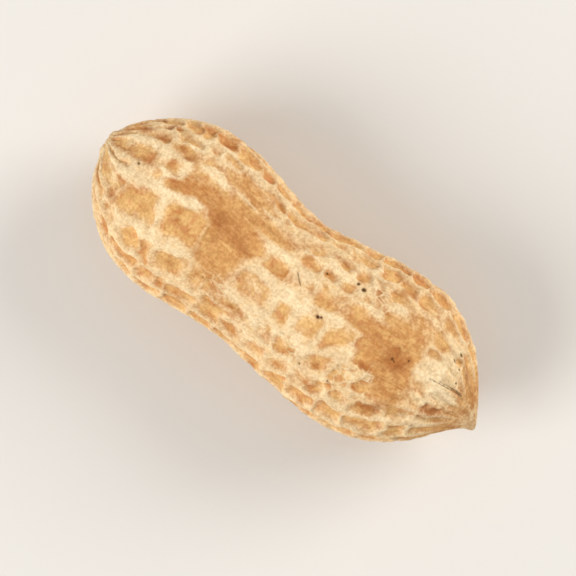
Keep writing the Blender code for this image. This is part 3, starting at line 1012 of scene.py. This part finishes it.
class Paint:
    """A material's node tree, with one method for any node."""

    def __init__(self, name):
        self.material = bpy.data.materials.new(name)
        self.material.use_nodes = True
        self.tree = self.material.node_tree
        self.shader = self.tree.nodes["Principled BSDF"]

    def node(self, kind, settings=None, inputs=None, output=0):
        """Adds a node, makes its settings, then fills or links its sockets by name or number."""
        made = self.tree.nodes.new(kind)
        for key, value in (settings or {}).items():
            setattr(made, key, value)
        for key, value in (inputs or {}).items():
            self.fill(made.inputs[key], value)
        return Value(self, made.outputs[output])

    def fill(self, socket, value):
        """Links a value to a socket, or sets the socket to a plain number or colour."""
        if isinstance(value, Value):
            self.tree.links.new(value.socket, socket)
        else:
            socket.default_value = value

    def math(self, operation, first, second):
        """One Math node, for the operators of Value."""
        return self.node("ShaderNodeMath", {"operation": operation}, {0: first, 1: second})

    def step(self, value, low, high):
        """0 below low and 1 above high, with an eased slope between."""
        return self.node(
            "ShaderNodeMapRange",
            {"interpolation_type": "SMOOTHSTEP"},
            {"Value": value, "From Min": low, "From Max": high},
        )

    def mix(self, share, first, second, blend="MIX"):
        """The first colour where share is 0, and where it is 1 the second, or the two blended."""
        return self.node(
            "ShaderNodeMix",
            {"data_type": "RGBA", "blend_type": blend},
            {0: share, 6: first, 7: second},
            output=2,
        )

    def attribute(self, name, output="Fac"):
        """A map that the mesh carries, by its name."""
        return self.node("ShaderNodeAttribute", {"attribute_name": name}, output=output)

    def stretched(self, place, scales):
        """A place multiplied along each axis: a larger number makes a finer pattern that way."""
        return self.node("ShaderNodeVectorMath", {"operation": "MULTIPLY"}, {0: place, 1: scales}, "Vector")

    def noise(self, place, scales, detail, roughness=0.55, distortion=0.0):
        """Cloudy noise from about 0.2 to 0.8. The scales say how many clouds fill a unit along each axis."""
        look = {"Scale": 1.0, "Detail": detail, "Roughness": roughness, "Distortion": distortion}
        return self.node("ShaderNodeTexNoise", {}, {"Vector": self.stretched(place, scales), **look}, "Fac")


def srgb(red, green, blue):
    """A screen colour from 0 to 255 as the linear colour that shaders use."""
    screen = np.array([red, green, blue]) / 255.0
    linear = np.where(screen <= 0.04045, screen / 12.92, ((screen + 0.055) / 1.055) ** 2.4)
    return (*linear.tolist(), 1.0)


print("white is", srgb(255, 255, 255)[:3])

# %% [markdown]
# ## Patterns in the wall
#
# Every pattern is set by how many clouds of noise fill a millimetre. Blotches are broad, the mottle
# is about as fine as a rib is wide, and the grit is the mealy grain of a dry shell. The fibres are
# noise too, but on the unrolled tube, where it is stretched along the pod. The veinlets are the
# edges of a Voronoi pattern.

# %% Noises and veinlets
MM_IN_A_METRE = (1000.0, 1000.0, 1000.0)
BLOTCH_SCALES = (0.55, 0.55, 0.55)
BLUSH_SCALES = (1.1, 1.1, 1.1)
MOTTLE_SCALES = (1.5, 1.5, 1.5)
GRIT_SCALES = (3.8, 3.8, 3.8)
FIBRE_SCALES = (0.5, 4.5, 4.5)
FINE_FIBRE_SCALES = (1.1, 11.0, 11.0)
VEINLET_SCALES = (1.1, 1.5, 1.5)
VEINLET_RANDOMNESS = 0.85
VEINLET_HALF_WIDTH = 0.16
NOISE_MIDDLE = 0.5
NOISE_SPREAD = (0.38, 0.62)


def shaken(value, *noises):
    """A value with noises added to it, each less its middle and times its share."""
    for noise, share in noises:
        value = value + (noise - NOISE_MIDDLE) * share
    return value


paint = Paint("dry_shell")
in_mm = paint.stretched(paint.node("ShaderNodeTexCoord", output="Object"), MM_IN_A_METRE)
tube_place = paint.attribute("tube", "Vector")
blotch = paint.noise(in_mm, BLOTCH_SCALES, detail=4.0)
blush = paint.noise(in_mm, BLUSH_SCALES, detail=2.0)
mottle = paint.noise(in_mm, MOTTLE_SCALES, detail=3.0)
grit = paint.noise(in_mm, GRIT_SCALES, detail=2.0)
fibre = paint.noise(tube_place, FIBRE_SCALES, detail=4.0, roughness=0.6, distortion=0.3)
fine_fibre = paint.noise(tube_place, FINE_FIBRE_SCALES, detail=2.0)
veinlet_edge = paint.node(
    "ShaderNodeTexVoronoi",
    {"feature": "DISTANCE_TO_EDGE"},
    {"Vector": paint.stretched(tube_place, VEINLET_SCALES), "Scale": 1.0, "Randomness": VEINLET_RANDOMNESS},
    output="Distance",
)
fine_net = paint.attribute("fine_net")
veinlet = paint.step(shaken(veinlet_edge, (grit, 0.12)), VEINLET_HALF_WIDTH, 0.0) * fine_net
print(len(paint.tree.nodes), "nodes for the patterns")

# %% [markdown]
# ## The shell's colours
#
# The ribs are pale straw, and the cells between them are tan. No two cells are quite alike, and the
# straw spills over the ridges' edges in a ragged way. So the mask of the net is shaken by three
# noises before it is cut into straw and tan. Painted shade deepens the tan at the foot of each
# ridge, in the crease where the cell meets it. The worn patches are a smoother, redder brown, and
# here and there the tan blushes pink.
#
# Then a fine mottle and a broad cloud multiply every colour, because a dry shell is mealy, never one
# even tone. The stalk's scar and the specks of soil lie over it all. The numbers in the sums are the
# share of each part, as in a recipe.

# %% Straw, tan and brown
STRAW = srgb(253, 230, 189)
STRAW_SHADE = srgb(240, 204, 151)
TAN = srgb(234, 188, 123)
DEEP_TAN_AND_SHADE = srgb(207, 142, 76)
BLUSH = srgb(226, 158, 108)
WORN_BROWN = srgb(200, 136, 74)
RED_BROWN = srgb(178, 108, 50)
SCAR_BROWN = srgb(146, 102, 62)
DUST = srgb(90, 56, 8)
MOTTLE_DARK = (0.86, 0.79, 0.71, 1.0)
MOTTLE_LIGHT = (1.07, 1.08, 1.09, 1.0)
CLOUD_DARK = (0.92, 0.89, 0.85, 1.0)
CLOUD_LIGHT = (1.03, 1.05, 1.06, 1.0)

pale_and_shade_map = paint.attribute("pale")
dark_map = paint.attribute("dark")
ragged = paint.attribute("straw") + pale_and_shade_map * 0.6 - dark_map * 0.5 + (veinlet - fine_net * 0.4) * 0.6
ragged = shaken(ragged, (mottle, 1.0), (fibre, 0.3), (grit, 0.3))
straw_mask = paint.step(ragged, 0.12, 0.9)
# Painted shade: the cell's tan deepens on the lower flank and at the foot of each ridge.
crease_shade = paint.step(paint.attribute("net"), 0.02, 0.35)

tan_and_crease_shade = shaken(paint.attribute("cell_tone") * 0.3, (blotch, 3.0), (mottle, 2.4)) + crease_shade * 0.5 + 0.2
cell_colour = paint.mix(paint.step(tan_and_crease_shade, 0.0, 1.0), TAN, DEEP_TAN_AND_SHADE)
cell_colour = paint.mix(paint.step(blush, 0.5, 0.68) * 0.5, cell_colour, BLUSH)
worn_share = paint.step(shaken(blotch, (fibre, 1.0), (mottle, 1.2)), 0.3, 0.8)
worn_colour = paint.mix(worn_share, WORN_BROWN, TAN)
cell_colour = paint.mix(paint.attribute("worn") * 0.8, cell_colour, worn_colour)
stain = paint.step(shaken(dark_map, (mottle, 0.6)), 0.1, 1.1) * 0.8
cell_colour = paint.mix(stain, cell_colour, RED_BROWN)

straw_share = shaken(0.5 - pale_and_shade_map * 0.3, (fibre, 0.9), (mottle, 1.8))
straw_colour = paint.mix(paint.step(straw_share, 0.1, 0.95), STRAW, STRAW_SHADE)
colour = paint.mix(straw_mask, cell_colour, straw_colour)

speckle = paint.step(mottle * 0.4 + grit * 0.6, *NOISE_SPREAD)
colour = paint.mix(1.0, colour, paint.mix(speckle, MOTTLE_DARK, MOTTLE_LIGHT), "MULTIPLY")
cloud = paint.step(blotch * 0.7 + blush * 0.3, *NOISE_SPREAD)
colour = paint.mix(1.0, colour, paint.mix(cloud, CLOUD_LIGHT, CLOUD_DARK), "MULTIPLY")
scar_mask = paint.step(shaken(paint.attribute("scar"), (mottle, 0.8), (grit, 0.6)), 0.55, 1.05)
colour = paint.mix(scar_mask * 0.85, colour, SCAR_BROWN)
soil_mask = paint.step(shaken(paint.attribute("speck"), (grit, 0.9)), 0.25, 0.85)
colour = paint.mix(soil_mask, colour, DUST)
paint.fill(paint.shader.inputs["Base Color"], colour)
print(len(paint.tree.nodes), "nodes with the colours")

# %% [markdown]
# ## Sheen and touch
#
# A dry shell hardly shines. The straw ribs are rubbed a little smoother than the cells. Fibres, grit
# and veinlets too fine for the mesh are a bump of a fifth of a millimetre at most. Two calls then
# say where the piece belongs: it is fixed to the body, and it replaces the coarse pod.

# %% Roughness, bump and the piece's place
CELL_ROUGHNESS = 0.78
STRAW_SMOOTHER = 0.12
GRIT_ROUGHNESS = 0.2
SPECULAR_LEVEL = 0.35
BUMP_STRENGTH = 0.7
BUMP_DISTANCE = 0.2 * MM

roughness = shaken(CELL_ROUGHNESS - straw_mask * STRAW_SMOOTHER, (grit, GRIT_ROUGHNESS))
paint.fill(paint.shader.inputs["Roughness"], roughness)
paint.fill(paint.shader.inputs["Specular IOR Level"], SPECULAR_LEVEL)
bump_height = fibre * 0.5 + fine_fibre * 0.3 + grit * 0.3 + mottle * 0.3 + veinlet * 0.4
bump_inputs = {"Strength": BUMP_STRENGTH, "Distance": BUMP_DISTANCE, "Height": bump_height}
paint.fill(paint.shader.inputs["Normal"], paint.node("ShaderNodeBump", {}, bump_inputs, "Normal"))
mesh.materials.append(paint.material)

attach(shell, "root")
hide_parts(POD_NODE)
print(len(paint.tree.nodes), "nodes in the shell's material")

# %% [markdown]
# ## The floor
#
# A plain pale floor under the pod catches its shadow. It isn't part of the peanut.

# %% A pale floor
FLOOR_SIZE = 4.0
FLOOR_GAP = 0.02 * MM
FLOOR_COLOUR = (0.80, 0.79, 0.77, 1.0)
FLOOR_ROUGHNESS = 0.9

square = ((-1, -1), (1, -1), (1, 1), (-1, 1))
floor_corners = [(x * FLOOR_SIZE / 2, y * FLOOR_SIZE / 2, -FLOOR_GAP) for x, y in square]
floor_mesh = bpy.data.meshes.new("floor")
floor_mesh.from_pydata(floor_corners, [], [(0, 1, 2, 3)])
floor = bpy.data.objects.new("floor", floor_mesh)
bpy.context.scene.collection.objects.link(floor)
floor_paint = Paint("pale_floor")
floor_paint.fill(floor_paint.shader.inputs["Base Color"], FLOOR_COLOUR)
floor_paint.fill(floor_paint.shader.inputs["Roughness"], FLOOR_ROUGHNESS)
floor_mesh.materials.append(floor_paint.material)
print("the floor is", FLOOR_SIZE, "m wide")
